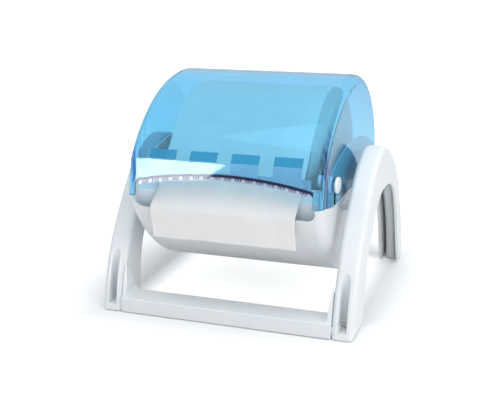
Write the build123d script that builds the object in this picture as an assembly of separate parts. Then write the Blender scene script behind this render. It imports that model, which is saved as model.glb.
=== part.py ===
from build123d import *
import os
from math import acos, atan2, cos, degrees, hypot, radians, sin, sqrt

# Wiping roll dispenser for a bench, in millimetres
# X runs to the right, Y to the back and Z up, with the origin on the bench under the middle of the stand

# Roll of paper on its core, hubs and spindle
ROLL_WIDTH = 226.0
ROLL_RADIUS = 135.0
CORE_RADIUS = 31.5
CORE_WALL = 2.5
WINDING_GAP = 0.05
SPINDLE_RADIUS = 8.0
JOURNAL_RADIUS = 6.0
JOURNAL_LENGTH = 20.0
SPINDLE_END_PLAY = 2.3
SPINDLE_CHAMFER = 1.0
HUB_FLANGE_RADIUS = 45.0
HUB_FLANGE = 4.0
HUB_PLUG_LENGTH = 20.0
HUB_WALL = 2.5
HUB_GAP = 0.4
SHAFT_FIT = 0.05

# Body: the outline that the shell and the cover share, drawn about the spindle's axis
ROLL_SIDE_SPACE = 39.0
ROLL_SPACE = 21.0
BODY_CLEARANCE = 38.0
BODY_Y = 25.0
FRONT_FLATTER = 85.0
KEEL_FLATTER = 104.0
KEEL_TURN = 15.0
CREASE_RISE = 53.0
BAND_FOOT_DROP = 4.5
CREASE_ROUND = 5.0
BODY_WALL = 3.0
END_ROUND = 14.0
RIM_DROP = 15.5
RIM_FRONT_DROP = 3.0
RIM_DIP_SETBACK = 80.0
RIM_GAP = 0.6

# Mouth: the arched edge of the cover and the notch in the shell below it
MOUTH_INSET = 14.0
MOUTH_TOP_RISE = 33.5
MOUTH_SIDE_RISE = 19.0
MOUTH_ROUND = 7.0
NOTCH_INSET = 10.0
NOTCH_DROP = 22.0
NOTCH_ROUND = 15.0
NOTCH_DEPTH = 22.0

# Stand: two side arches and a front bar
ARCH_GAP = 16.0
ARCH_WIDTH = 34.0
STAND_DEPTH = 384.0
ARCH_TOP_RISE = 49.0
ARCH_OPENING_DROP = 17.0
ARCH_WALL = 4.0
ARCH_SOLE = 6.0
ARCH_ROUND = 8.0
ARCH_COLUMN_RADIUS = 8.5
ARCH_COLUMN_DEPTH = 11.0
ARCH_FRONT_SHARES = [(-1, 0), (-0.945, 0.181), (-0.852, 0.362), (-0.57, 0.687), (-0.372, 0.856),
                     (-0.148, 0.965)]
ARCH_REAR_SHARES = [(0.06, 1), (0.3, 0.935), (0.565, 0.794), (0.753, 0.588), (0.893, 0.37), (0.975, 0.16),
                    (1, 0)]
ARCH_OPENING_SHARES = [(-0.69, 0), (-0.622, 0.271), (-0.534, 0.565), (-0.372, 0.757), (-0.206, 0.921),
                       (0.05, 1), (0.268, 0.972), (0.471, 0.864), (0.591, 0.672), (0.706, 0.328), (0.805, 0)]

# Bench screw channel in each front foot
CHANNEL_WIDTH = 13.0
CHANNEL_SETBACK = 25.0
CHANNEL_FLOOR = 11.0
CHANNEL_TOP = 105.0
BENCH_SCREW_HOLE = 5.5

# Rubber pads in the front soles and under the rear columns
PAD_DIAMETER = 14.0
PAD_PROUD = 1.5
PAD_RECESS = 1.5
PAD_FRONT_SETBACK = 48.0
PAD_REAR_SETBACK = 18.0

# Front bar with its gussets and tongues
BAR_DEPTH = 42.0
BAR_HEIGHT = 24.5
BAR_WALL = 3.0
BAR_BAYS = 8
GUSSET_WIDTH = 6.0
GUSSET_SHOULDER = 46.0
GUSSET_TOP = 84.0
GUSSET_HEEL = 6.0
GUSSET_TOE = 14.0
GUSSET_ROUND = 9.0
TONGUE_LENGTH = 12.0
TONGUE_DEPTH = 32.0
TONGUE_HEIGHT = 11.0
TONGUE_FLOOR = 7.0
TONGUE_PLAY = 0.2

# Side panels of the shell that stand inside the cover
PANEL_THICK = 2.5
PANEL_PLAY = 0.5
PANEL_INSET = 11.0
PANEL_RISE = 57.0
PANEL_TOP_RADIUS = 350.0
PANEL_DROP = 73.0

# Cover hinge at the rear rim
HINGE_RADIUS = 5.0
HINGE_STANDOFF = 5.5
HINGE_PIN_RADIUS = 2.0
HINGE_FIT = 0.05
HINGE_X = 105.0
HINGE_COVER_LENGTH = 25.0
HINGE_SHELL_LENGTH = 10.0
HINGE_SIDE_PLAY = 0.4

# Tear bar behind the front band
TEAR_INSET = 4.0
TEAR_THICK = 2.2
TEAR_GAP = 0.2
TEAR_BAND_RISE = 38.0
TEAR_DROP = 6.5
TEAR_GROUPS = 16
TEAR_GROUP_PITCH = 16.4
TEAR_TOOTH_PITCH = 3.9
TEAR_NOTCH_WIDTH = 2.4
TEAR_NOTCH_HEIGHT = 5.0
CLIP_WIDTH = 42.0
CLIP_PITCH = 65.0
CLIP_COUNT = 4
CLIP_FOOT_RISE = 36.0
CLIP_TOP_RISE = 64.5

# Paper guide behind the notch
GUIDE_THICK = 2.5
GUIDE_TOP_SETBACK = 48.0
GUIDE_TOP_RISE = 13.0
GUIDE_NOSE_SETBACK = 27.0
GUIDE_NOSE_DROP = 1.0
GUIDE_FOOT_DROP = 73.0
GUIDE_FLANGE = 3.0
GUIDE_FLANGE_DROP = 43.0
GUIDE_SCREW_DROP = 25.0
SEAT_GAP = 0.2

# Cradles that hold the journals
CRADLE_WIDTH = 96.0
CRADLE_DROP = 63.0
CRADLE_RISE = 29.0
CRADLE_PLATE = 3.0
CRADLE_ROUND = 10.0
SADDLE_RADIUS = 16.0
SADDLE_LENGTH = 18.0
CRADLE_SCREW_SPREAD = 66.0
CRADLE_SCREW_DROP = 47.0

# Latch buttons, their springs and housings
LATCH_SETBACK = 76.0
LATCH_RISE = 16.0
LATCH_PAD_LENGTH = 28.0
LATCH_PAD_HEIGHT = 24.0
LATCH_PAD_THICK = 3.6
LATCH_PAD_ROUND = 1.4
LATCH_TRAVEL = 2.0
LATCH_PAD_CLEAR = 0.4
LATCH_STEM_RADIUS = 4.4
LATCH_STEM_FIT = 0.08
LATCH_FLANGE_RADIUS = 9.0
LATCH_FLANGE = 2.8
LATCH_STOP_GAP = 0.3
LATCH_SLOT_PLAY = 0.5
HOUSING_LENGTH = 18.0
HOUSING_RADIUS = 13.0
HOUSING_WALL = 2.5
HOUSING_EAR = 3.0
HOUSING_EAR_SPREAD = 38.0
HOUSING_EAR_HEIGHT = 12.0
SPRING_RADIUS = 5.2
SPRING_WIRE = 1.0
SPRING_TURNS = 5

# Joints between the shell and the arches
BOSS_RADIUS = 8.0
BOSS_COLLAR = 3.0
BOSS_SHARES = [(-0.292, 0.675), (0.52, 0.7)]
BOSS_HOLE_DEPTH = 28.0

# Screws: shank radius, head radius and head height
ARCH_SCREW = (2.5, 5.0, 3.2)
ARCH_SCREW_LENGTH = 30.0
BAR_SCREW = (2.0, 4.0, 2.4)
BAR_SCREW_LENGTH = 11.0
BAR_SCREW_EDGE = 6.0
BAR_SCREW_SPREAD = 18.0
SMALL_SCREW = (1.5, 3.0, 1.8)
SMALL_SCREW_LENGTH = 7.5
THIN_SCREW_LENGTH = 5.2
SCREW_FIT = 0.05
SCREW_CLEARANCE = 0.3

# Free end of the paper
SHEET_THICK = 0.6
SHEET_CLEAR = 0.4
SHEET_DROP = 67.0
LIP_SHARE = 1.1

# One overrun for every cut
OVER = 60.0

BODY_WIDTH = ROLL_WIDTH + 2 * ROLL_SIDE_SPACE
BODY_RADIUS = ROLL_RADIUS + ROLL_SPACE
BODY_Z = BODY_RADIUS + BODY_CLEARANCE
FRONT_RADIUS = BODY_RADIUS + FRONT_FLATTER
KEEL_RADIUS = BODY_RADIUS + KEEL_FLATTER
CREASE_Z = BODY_Z + CREASE_RISE
BAND_FOOT_Z = BODY_Z - BAND_FOOT_DROP
RIM_Z = BODY_Z - RIM_DROP
RIM_FRONT_Z = BODY_Z - RIM_FRONT_DROP
MOUTH_TOP = BODY_Z + MOUTH_TOP_RISE
MOUTH_SIDE = BODY_Z + MOUTH_SIDE_RISE
MOUTH_WIDTH = BODY_WIDTH - 2 * MOUTH_INSET
NOTCH_WIDTH = BODY_WIDTH - 2 * NOTCH_INSET
NOTCH_FLOOR = BODY_Z - NOTCH_DROP
STAND_WIDTH = BODY_WIDTH + 2 * (ARCH_GAP + ARCH_WIDTH)
HALF_WIDTH = STAND_WIDTH / 2
HALF_DEPTH = STAND_DEPTH / 2
FRONT_Y = -HALF_DEPTH
ARCH_INNER_X = HALF_WIDTH - ARCH_WIDTH
ARCH_MIDDLE_X = HALF_WIDTH - ARCH_WIDTH / 2
ARCH_TOP = BODY_Z + ARCH_TOP_RISE
ARCH_OPENING_TOP = BODY_Z - ARCH_OPENING_DROP
BODY_HALF = BODY_WIDTH / 2
PANEL_OUTER_X = BODY_HALF - BODY_WALL - PANEL_PLAY
PANEL_INNER_X = PANEL_OUTER_X - PANEL_THICK
SEAT_X = PANEL_INNER_X - SEAT_GAP
KEEL_Y = BODY_Y - (BODY_RADIUS - KEEL_RADIUS) * sin(radians(KEEL_TURN))
KEEL_Z = BODY_Z - (BODY_RADIUS - KEEL_RADIUS) * cos(radians(KEEL_TURN))
FRONT_ARC_Z = BODY_Z + BODY_RADIUS - FRONT_RADIUS
BODY_FRONT_Y = KEEL_Y - sqrt(KEEL_RADIUS ** 2 - (BAND_FOOT_Z - KEEL_Z) ** 2)
CREASE_Y = BODY_Y - sqrt(FRONT_RADIUS ** 2 - (CREASE_Z - FRONT_ARC_Z) ** 2)
HINGE_Z = RIM_Z
HINGE_Y = BODY_Y + sqrt(BODY_RADIUS ** 2 - (HINGE_Z - BODY_Z) ** 2) + HINGE_STANDOFF
LATCH_Y = BODY_FRONT_Y + LATCH_SETBACK
LATCH_Z = BODY_Z + LATCH_RISE
CRADLE_FOOT = BODY_Z - CRADLE_DROP
CRADLE_HEAD = BODY_Z + CRADLE_RISE
GUIDE_TOP = (BODY_FRONT_Y + GUIDE_TOP_SETBACK, BODY_Z + GUIDE_TOP_RISE)
GUIDE_NOSE = (BODY_FRONT_Y + GUIDE_NOSE_SETBACK, BODY_Z - GUIDE_NOSE_DROP)


def side_slab(face, x0, x1):
    """Extrude a face drawn in Y and Z between two places along X."""
    return extrude(Plane.YZ.offset(x0) * face, amount=x1 - x0)


def front_slab(face, y0, y1):
    """Extrude a face drawn in X and Z between two places along Y."""
    return extrude(Plane.XZ.offset(-y1) * face, amount=y1 - y0)


def block(x0, x1, y0, y1, z0, z1):
    """A box between two corners."""
    return Pos((x0 + x1) / 2, (y0 + y1) / 2, (z0 + z1) / 2) * Box(x1 - x0, y1 - y0, z1 - z0)


def rod(radius, x0, x1, y, z):
    """A round bar along X."""
    return side_slab(Pos(y, z) * Circle(radius), x0, x1)


def post(radius, x, y, z0, z1):
    """A round bar along Z."""
    return extrude(Plane.XY.offset(z0) * Pos(x, y) * Circle(radius), amount=z1 - z0)


def polygon(*points):
    """A flat face with straight sides."""
    return make_face(Polyline(*points, close=True))


def bar_2d(start, end, width):
    """A flat round-ended bar between two points."""
    dy = end[0] - start[0]
    dz = end[1] - start[1]
    middle = Pos((start[0] + end[0]) / 2, (start[1] + end[1]) / 2)
    return middle * Rot(0, 0, degrees(atan2(dz, dy))) * SlotCenterToCenter(hypot(dy, dz), width)


def mirrored(shape):
    """The same piece on the other side of the middle plane."""
    return mirror(shape, about=Plane.YZ)


def pair(shape):
    """A piece and its mirror image, as separate solids of one group."""
    return shape.solids() + mirrored(shape).solids()


def scaled(shares, depth, height):
    """Points given as shares of a half depth and a height."""
    return [(y * depth, z * height) for y, z in shares]


def arch_outline(shares, depth, height):
    """A closed face under a smooth curve whose ends stand on the bench."""
    points = scaled(shares, depth, height)
    curve = Spline(*points)
    return make_face([curve, Line(points[-1], points[0])])


def screw(sizes, length):
    """A pan head screw that points down, with the underside of its head at the origin."""
    shank, head, height = sizes
    body = post(shank, 0, 0, -length, 0) + post(head, 0, 0, 0, height)
    return fillet(body.edges().filter_by(GeomType.CIRCLE).sort_by(Axis.Z)[-1], height / 3)


def screw_out(sizes, length, x, y, z):
    """A screw along X whose shank points away from the middle plane, on the right side."""
    return Pos(x, y, z) * Rot(0, -90, 0) * screw(sizes, length)


def nearest_meeting(point, heading, centre, radius):
    """Where a line through a point meets a circle, taking the meeting that lies nearer to the point."""
    py = point[0] - centre[0]
    pz = point[1] - centre[1]
    along = py * heading[0] + pz * heading[1]
    reach = sqrt(along ** 2 - (py ** 2 + pz ** 2 - radius ** 2))
    step = min(-along - reach, -along + reach, key=abs)
    return (point[0] + step * heading[0], point[1] + step * heading[1])


def body_face(inset=0.0):
    """Side view of the body: rear circle, keel arc, flat front band and front arc, all moved inwards."""
    keel_angle = -90 - KEEL_TURN
    length = hypot(CREASE_Y - BODY_FRONT_Y, CREASE_Z - BAND_FOOT_Z)
    heading = ((CREASE_Y - BODY_FRONT_Y) / length, (CREASE_Z - BAND_FOOT_Z) / length)
    start = (BODY_FRONT_Y + inset * heading[1], BAND_FOOT_Z - inset * heading[0])
    end = (CREASE_Y + inset * heading[1], CREASE_Z - inset * heading[0])
    foot = nearest_meeting(start, heading, (KEEL_Y, KEEL_Z), KEEL_RADIUS - inset)
    crease = nearest_meeting(end, heading, (BODY_Y, FRONT_ARC_Z), FRONT_RADIUS - inset)
    foot_angle = degrees(atan2(foot[1] - KEEL_Z, foot[0] - KEEL_Y))
    crease_angle = degrees(atan2(crease[1] - FRONT_ARC_Z, crease[0] - BODY_Y))
    rear = CenterArc((BODY_Y, BODY_Z), BODY_RADIUS - inset, 90, keel_angle - 90)
    keel = CenterArc((KEEL_Y, KEEL_Z), KEEL_RADIUS - inset, keel_angle, foot_angle - keel_angle)
    front = CenterArc((BODY_Y, FRONT_ARC_Z), FRONT_RADIUS - inset, crease_angle, 90 - crease_angle)
    face = make_face([rear, keel, Line(foot, crease), front])
    if inset < CREASE_ROUND:
        face = fillet(face.vertices().sort_by(Axis.X)[:2], CREASE_ROUND - inset)
    return face


def body_solid(inset, rounding):
    """The closed body, with both ends rounded."""
    half = BODY_HALF - inset
    solid = side_slab(body_face(inset), -half, half)
    ends = solid.faces().filter_by(Axis.X)
    return fillet(ends.edges(), rounding)


def rim_region(shift, upwards):
    """Side view of everything above or below the parting line, moved by a shift."""
    front = (BODY_FRONT_Y, RIM_FRONT_Z + shift)
    dip = (BODY_FRONT_Y + RIM_DIP_SETBACK, RIM_Z + shift)
    far_front = BODY_FRONT_Y - OVER
    far_rear = HINGE_Y + OVER
    far_z = BODY_Z + BODY_RADIUS + OVER if upwards else -OVER
    curve = Spline(front, dip, tangents=[(1, 0), (1, 0)])
    rest = Polyline(dip, (far_rear, dip[1]), (far_rear, far_z), (far_front, far_z), (far_front, front[1]),
                    front)
    return make_face([curve] + rest.edges())


def mouth_face(drop=0.0):
    """Front view of the space under the arched lower edge of the cover."""
    half = MOUTH_WIDTH / 2
    arc = ThreePointArc((-half, MOUTH_SIDE - drop), (0, MOUTH_TOP - drop), (half, MOUTH_SIDE - drop))
    sides = Polyline((half, MOUTH_SIDE - drop), (half, 0), (-half, 0), (-half, MOUTH_SIDE - drop))
    face = make_face([arc] + sides.edges())
    return fillet(face.vertices().sort_by(Axis.Y)[-2:], MOUTH_ROUND)


def notch_face():
    """Front view of the wide notch in the shell's front wall."""
    half = NOTCH_WIDTH / 2
    top = RIM_FRONT_Z + OVER
    face = polygon((-half, NOTCH_FLOOR), (half, NOTCH_FLOOR), (half, top), (-half, top))
    return fillet(face.vertices().sort_by(Axis.Y)[:2], NOTCH_ROUND)


def panel_face():
    """Side view of a panel that stands up inside the cover."""
    crown = Pos(0, BODY_Z + PANEL_RISE - PANEL_TOP_RADIUS) * Circle(PANEL_TOP_RADIUS)
    low = BODY_Z - PANEL_DROP
    high = BODY_Z + BODY_RADIUS
    above_foot = polygon((-STAND_DEPTH, low), (STAND_DEPTH, low), (STAND_DEPTH, high), (-STAND_DEPTH, high))
    return body_face(PANEL_INSET) & crown & above_foot


def knuckle(x0, x1, upwards):
    """One hinge barrel with the bridge that joins it to the wall."""
    reach = HINGE_STANDOFF + BODY_WALL / 2
    barrel = rod(HINGE_RADIUS, x0, x1, HINGE_Y, HINGE_Z)
    if upwards:
        bridge = block(x0, x1, HINGE_Y - reach, HINGE_Y, HINGE_Z + RIM_GAP / 2, HINGE_Z + HINGE_RADIUS)
    else:
        bridge = block(x0, x1, HINGE_Y - reach, HINGE_Y, HINGE_Z - HINGE_RADIUS, HINGE_Z - RIM_GAP / 2)
    bore = rod(HINGE_PIN_RADIUS + HINGE_FIT, x0 - OVER, x1 + OVER, HINGE_Y, HINGE_Z)
    return barrel + bridge - bore


def shell_knuckles():
    """The two shell barrels of the right hinge, one each side of the cover's barrel."""
    inner = HINGE_COVER_LENGTH / 2 + HINGE_SIDE_PLAY
    outer = inner + HINGE_SHELL_LENGTH
    return [knuckle(HINGE_X - outer, HINGE_X - inner, False),
            knuckle(HINGE_X + inner, HINGE_X + outer, False)]


def boss_places():
    """Where the arch screws go, in Y and Z."""
    return scaled(BOSS_SHARES, HALF_DEPTH, ARCH_TOP)


def column_solid():
    """Round column inside the rear leg, which follows the arch from its crown down to the rear pad."""
    depth = pad_places()[1]
    height = ARCH_TOP - ARCH_COLUMN_DEPTH
    curve = Spline(*scaled(ARCH_REAR_SHARES, depth, height))
    path = Plane.YZ.offset(ARCH_MIDDLE_X) * curve
    return sweep(Plane(path @ 0, z_dir=path % 0) * Circle(ARCH_COLUMN_RADIUS), path=path)


def make_right_arch():
    """Right side arch: a hollow inverted U, open on its inner curve and below the rear leg."""
    outer = arch_outline(ARCH_FRONT_SHARES + ARCH_REAR_SHARES, HALF_DEPTH, ARCH_TOP)
    plate = side_slab(outer, ARCH_INNER_X, HALF_WIDTH)
    outer_edges = plate.faces().sort_by(Axis.X)[-1].edges()
    inner_edges = plate.faces().sort_by(Axis.X)[0].edges().sort_by(Axis.Z)[1:]
    arch = fillet(outer_edges + inner_edges, ARCH_ROUND)
    square_foot = outer & polygon((-STAND_DEPTH, 0), (0, 0), (0, GUSSET_TOP), (-STAND_DEPTH, GUSSET_TOP))
    arch += side_slab(square_foot, ARCH_INNER_X, ARCH_MIDDLE_X)
    opening = arch_outline(ARCH_OPENING_SHARES, HALF_DEPTH, ARCH_OPENING_TOP)
    arch -= side_slab(opening, ARCH_INNER_X - OVER, HALF_WIDTH + OVER)
    arch -= block(0, STAND_WIDTH, -STAND_DEPTH, STAND_DEPTH, -OVER, PAD_PROUD)
    channel_y = FRONT_Y + CHANNEL_SETBACK
    channel_r = CHANNEL_WIDTH / 2
    solid_foot_y = channel_y + channel_r + ARCH_WALL
    hollow = arch_outline(ARCH_FRONT_SHARES + ARCH_REAR_SHARES, HALF_DEPTH - ARCH_WALL, ARCH_TOP - ARCH_WALL)
    pocket = side_slab(hollow, ARCH_INNER_X + ARCH_WALL, HALF_WIDTH - ARCH_WALL)
    pocket -= block(0, STAND_WIDTH, -STAND_DEPTH, 0, -OVER, ARCH_SOLE)
    pocket -= block(0, STAND_WIDTH, -STAND_DEPTH, solid_foot_y, -OVER, CHANNEL_TOP)
    pocket -= column_solid()
    for y, z in boss_places():
        pocket -= rod(BOSS_RADIUS + BOSS_COLLAR, ARCH_INNER_X, HALF_WIDTH, y, z)
    arch -= pocket
    for y, z in boss_places():
        arch += rod(BOSS_RADIUS, BODY_HALF, ARCH_INNER_X + ARCH_WALL / 2, y, z)
        arch -= rod(ARCH_SCREW[0] + SCREW_FIT, BODY_HALF - OVER, BODY_HALF + BOSS_HOLE_DEPTH, y, z)
    arch -= post(channel_r, ARCH_MIDDLE_X, channel_y, CHANNEL_FLOOR, ARCH_TOP)
    arch -= block(ARCH_MIDDLE_X - channel_r, ARCH_MIDDLE_X + channel_r, FRONT_Y - OVER, channel_y,
                  CHANNEL_FLOOR, ARCH_TOP)
    arch -= post(BENCH_SCREW_HOLE / 2, ARCH_MIDDLE_X, channel_y, -OVER, CHANNEL_FLOOR + OVER / 4)
    for y in pad_places():
        arch -= post(PAD_DIAMETER / 2, ARCH_MIDDLE_X, y, -OVER, PAD_PROUD + PAD_RECESS)
    arch -= tongue_solid(TONGUE_PLAY)
    for x, y in bar_screw_places():
        arch -= post(BAR_SCREW[0] + SCREW_CLEARANCE, x, y, -OVER, TONGUE_FLOOR)
        arch -= post(BAR_SCREW[1] + SCREW_CLEARANCE, x, y, -OVER, bar_screw_seat())
    return arch


def tongue_solid(play=0.0):
    """The tongue at the right end of the front bar, or its mortise when given some play."""
    y_middle = FRONT_Y + BAR_DEPTH / 2
    return block(ARCH_INNER_X - (0 if play else BAR_WALL), ARCH_INNER_X + TONGUE_LENGTH + play,
                 y_middle - TONGUE_DEPTH / 2 - play, y_middle + TONGUE_DEPTH / 2 + play,
                 TONGUE_FLOOR - play, TONGUE_FLOOR + TONGUE_HEIGHT + play)


def bar_screw_seat():
    """Height of the underside of a bar screw's head."""
    return PAD_PROUD + BAR_SCREW[2] + SCREW_CLEARANCE


def bar_screw_places():
    """The two screws that hold the right tongue."""
    y_middle = FRONT_Y + BAR_DEPTH / 2
    x = ARCH_INNER_X + BAR_SCREW_EDGE
    return [(x, y_middle - BAR_SCREW_SPREAD / 2), (x, y_middle + BAR_SCREW_SPREAD / 2)]


def make_front_crossbar():
    """Low hollow bar with ribs below, and at each end a gusset up the leg and a tongue into the foot."""
    rear = FRONT_Y + BAR_DEPTH
    bar = block(-ARCH_INNER_X, ARCH_INNER_X, FRONT_Y, rear, PAD_PROUD, BAR_HEIGHT)
    bar = fillet(bar.edges().filter_by(Axis.X).sort_by(Axis.Z)[-2:], BAR_WALL / 2)
    bay_pitch = 2 * (ARCH_INNER_X - BAR_WALL / 2) / BAR_BAYS
    for n in range(BAR_BAYS):
        x = -ARCH_INNER_X + BAR_WALL / 2 + (n + 0.5) * bay_pitch
        bar -= block(x - bay_pitch / 2 + BAR_WALL / 2, x + bay_pitch / 2 - BAR_WALL / 2, FRONT_Y + BAR_WALL,
                     rear - BAR_WALL, -OVER, BAR_HEIGHT - BAR_WALL)
    side = ARCH_INNER_X - GUSSET_WIDTH
    toe = side - GUSSET_ROUND
    heel = BAR_HEIGHT - BAR_WALL / 2
    bend = radians(45)
    hollow_mid = (toe + GUSSET_ROUND * sin(bend), heel + GUSSET_ROUND * (1 - cos(bend)))
    outline = [ThreePointArc((toe, heel), hollow_mid, (side, heel + GUSSET_ROUND))]
    outline += Polyline((side, heel + GUSSET_ROUND), (side, GUSSET_SHOULDER), (ARCH_INNER_X, GUSSET_TOP),
                        (ARCH_INNER_X, PAD_PROUD), (toe, PAD_PROUD), (toe, heel)).edges()
    gusset = front_slab(make_face(outline), FRONT_Y, rear)
    leg = arch_outline(ARCH_FRONT_SHARES + ARCH_REAR_SHARES, HALF_DEPTH, ARCH_TOP)
    web = polygon((FRONT_Y, 0), (rear, 0), (rear, BAR_HEIGHT + GUSSET_HEEL),
                  (FRONT_Y + GUSSET_TOE, GUSSET_TOP), (FRONT_Y, GUSSET_TOP))
    gusset &= side_slab(leg & web, toe, ARCH_INNER_X)
    end = gusset + tongue_solid()
    for x, y in bar_screw_places():
        end -= post(BAR_SCREW[0] + SCREW_FIT, x, y, 0, bar_screw_seat() + BAR_SCREW_LENGTH + SCREW_CLEARANCE)
    return bar + end + mirrored(end)


def make_crossbar_screws():
    """Screws up through each foot into the bar's tongues."""
    solids = []
    for x, y in bar_screw_places():
        solids += pair(Pos(x, y, bar_screw_seat()) * Rot(180, 0, 0) * screw(BAR_SCREW, BAR_SCREW_LENGTH))
    return Compound(children=solids)


def pad_places():
    """The front and the rear pad along Y."""
    return [FRONT_Y + PAD_FRONT_SETBACK, HALF_DEPTH - PAD_REAR_SETBACK]


def make_rubber_feet():
    """Round pads, one in each foot."""
    solids = []
    for y in pad_places():
        pad = post(PAD_DIAMETER / 2 - SCREW_FIT, ARCH_MIDDLE_X, y, 0, PAD_PROUD + PAD_RECESS)
        pad = chamfer(pad.edges().filter_by(GeomType.CIRCLE).sort_by(Axis.Z)[0], PAD_PROUD / 3)
        solids += pair(pad)
    return Compound(children=solids)


def make_base_shell():
    """White tub below the parting line, with side panels that stand up inside the cover."""
    below = side_slab(rim_region(-RIM_GAP / 2, False), -STAND_WIDTH, STAND_WIDTH)
    shell = (body_solid(0, END_ROUND) - body_solid(BODY_WALL, END_ROUND - BODY_WALL)) & below
    shell -= front_slab(notch_face(), BODY_FRONT_Y - OVER, BODY_FRONT_Y + NOTCH_DEPTH)
    panel = side_slab(panel_face(), PANEL_INNER_X, PANEL_OUTER_X)
    panel += side_slab(panel_face(), PANEL_INNER_X, BODY_HALF - BODY_WALL / 2) & below
    shell += panel + mirrored(panel)
    for barrel in shell_knuckles():
        shell += barrel + mirrored(barrel)
    holes = []
    for y, z in boss_places():
        holes.append(rod(ARCH_SCREW[0] + SCREW_CLEARANCE, BODY_HALF - OVER, BODY_HALF + OVER, y, z))
    stem_hole = LATCH_STEM_RADIUS + LATCH_STEM_FIT
    holes.append(rod(stem_hole, PANEL_INNER_X - OVER, BODY_HALF + OVER, LATCH_Y, LATCH_Z))
    for y, z in cradle_screw_places() + guide_screw_places():
        holes.append(small_pilot(y, z, SEAT_X - CRADLE_PLATE + SMALL_SCREW_LENGTH))
    for y, z in latch_screw_places():
        holes.append(small_pilot(y, z, SEAT_X - HOUSING_EAR + THIN_SCREW_LENGTH))
    for hole in holes:
        shell -= hole
        shell -= mirrored(hole)
    return shell


def small_pilot(y, z, tip_x):
    """The hole that a small screw cuts its thread in, a little longer than the screw."""
    return rod(SMALL_SCREW[0] + SCREW_FIT, PANEL_INNER_X - OVER / 4, tip_x + SCREW_CLEARANCE, y, z)


def make_cover():
    """Translucent cover with an arched lower edge in front, stem slots at the sides and hinge barrels."""
    above = side_slab(rim_region(RIM_GAP / 2, True), -STAND_WIDTH, STAND_WIDTH)
    cover = (body_solid(0, END_ROUND) - body_solid(BODY_WALL, END_ROUND - BODY_WALL)) & above
    cover -= front_slab(mouth_face(), BODY_FRONT_Y - OVER, BODY_FRONT_Y + OVER)
    cover += knuckle(HINGE_X - HINGE_COVER_LENGTH / 2, HINGE_X + HINGE_COVER_LENGTH / 2, True)
    cover += knuckle(-HINGE_X - HINGE_COVER_LENGTH / 2, -HINGE_X + HINGE_COVER_LENGTH / 2, True)
    slot_half = LATCH_STEM_RADIUS + LATCH_SLOT_PLAY
    swing = hypot(LATCH_Y - HINGE_Y, LATCH_Z - HINGE_Z)
    ring = Circle(swing + slot_half) - Circle(swing - slot_half)
    front = LATCH_Y - OVER - HINGE_Y
    rear = LATCH_Y + OVER - HINGE_Y
    low = polygon((front, 0), (rear, 0), (rear, LATCH_Z - HINGE_Z), (front, LATCH_Z - HINGE_Z))
    slot = Pos(HINGE_Y, HINGE_Z) * (ring & low) + Pos(LATCH_Y, LATCH_Z) * Circle(slot_half)
    slot = side_slab(slot, BODY_HALF - 2 * BODY_WALL, BODY_HALF + BODY_WALL)
    return cover - slot - mirrored(slot)


def make_tear_bar():
    """Toothed strip behind the front band, with four clips that reach up past the crease."""
    ring = body_face(BODY_WALL + TEAR_GAP) - body_face(BODY_WALL + TEAR_GAP + TEAR_THICK)
    rear_y = BODY_Y - BODY_RADIUS / 2
    strip_z = BODY_Z + TEAR_BAND_RISE
    strip = ring & polygon((FRONT_Y - OVER, 0), (rear_y, 0), (rear_y, strip_z), (FRONT_Y - OVER, strip_z))
    bar = side_slab(strip, TEAR_INSET - MOUTH_WIDTH / 2, MOUTH_WIDTH / 2 - TEAR_INSET)
    bar -= front_slab(mouth_face(TEAR_DROP), FRONT_Y - OVER, rear_y)
    foot_z = BODY_Z + CLIP_FOOT_RISE
    top_z = BODY_Z + CLIP_TOP_RISE
    far_y = FRONT_Y - OVER
    clip = ring & polygon((far_y, foot_z), (rear_y, foot_z), (rear_y, top_z), (far_y, top_z))
    for n in range(CLIP_COUNT):
        x = (n - (CLIP_COUNT - 1) / 2) * CLIP_PITCH
        bar += side_slab(clip, x - CLIP_WIDTH / 2, x + CLIP_WIDTH / 2)
    half = MOUTH_WIDTH / 2
    rise = MOUTH_TOP - MOUTH_SIDE
    radius = (half ** 2 + rise ** 2) / (2 * rise)
    notches = []
    for group in range(TEAR_GROUPS):
        for tooth in range(3):
            x = (group - (TEAR_GROUPS - 1) / 2) * TEAR_GROUP_PITCH + (tooth - 1) * TEAR_TOOTH_PITCH
            edge_z = MOUTH_TOP - TEAR_DROP - radius + sqrt(radius ** 2 - x ** 2)
            low_z = edge_z - TEAR_NOTCH_WIDTH
            wide = TEAR_NOTCH_WIDTH / 2 * (1 + TEAR_NOTCH_WIDTH / TEAR_NOTCH_HEIGHT)
            notch = polygon((x - wide, low_z), (x + wide, low_z), (x, edge_z + TEAR_NOTCH_HEIGHT))
            notches.append(notch)
    cut = front_slab(Sketch(children=notches), FRONT_Y - OVER, rear_y)
    return bar - cut


def make_paper_guide():
    """Ramp and skirt behind the notch, with an end flange screwed to each side panel."""
    foot = (GUIDE_NOSE[0], BODY_Z - GUIDE_FOOT_DROP)
    web = bar_2d(GUIDE_TOP, GUIDE_NOSE, GUIDE_THICK) + bar_2d(GUIDE_NOSE, foot, GUIDE_THICK)
    inset = BODY_WALL + SEAT_GAP
    guide = side_slab(web, -SEAT_X, SEAT_X)
    flange_foot = BODY_Z - GUIDE_FLANGE_DROP
    flange = polygon(GUIDE_TOP, GUIDE_NOSE, (GUIDE_NOSE[0], flange_foot), (GUIDE_TOP[0], flange_foot))
    flange = side_slab(flange, SEAT_X - GUIDE_FLANGE, SEAT_X)
    for y, z in guide_screw_places():
        flange -= rod(SMALL_SCREW[0] + SCREW_CLEARANCE, 0, BODY_HALF, y, z)
    return (guide + flange + mirrored(flange)) & body_solid(inset, END_ROUND - inset)


def guide_screw_places():
    """The screw through the guide's end flange."""
    return [((GUIDE_TOP[0] + GUIDE_NOSE[0]) / 2, BODY_Z - GUIDE_SCREW_DROP)]


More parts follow.
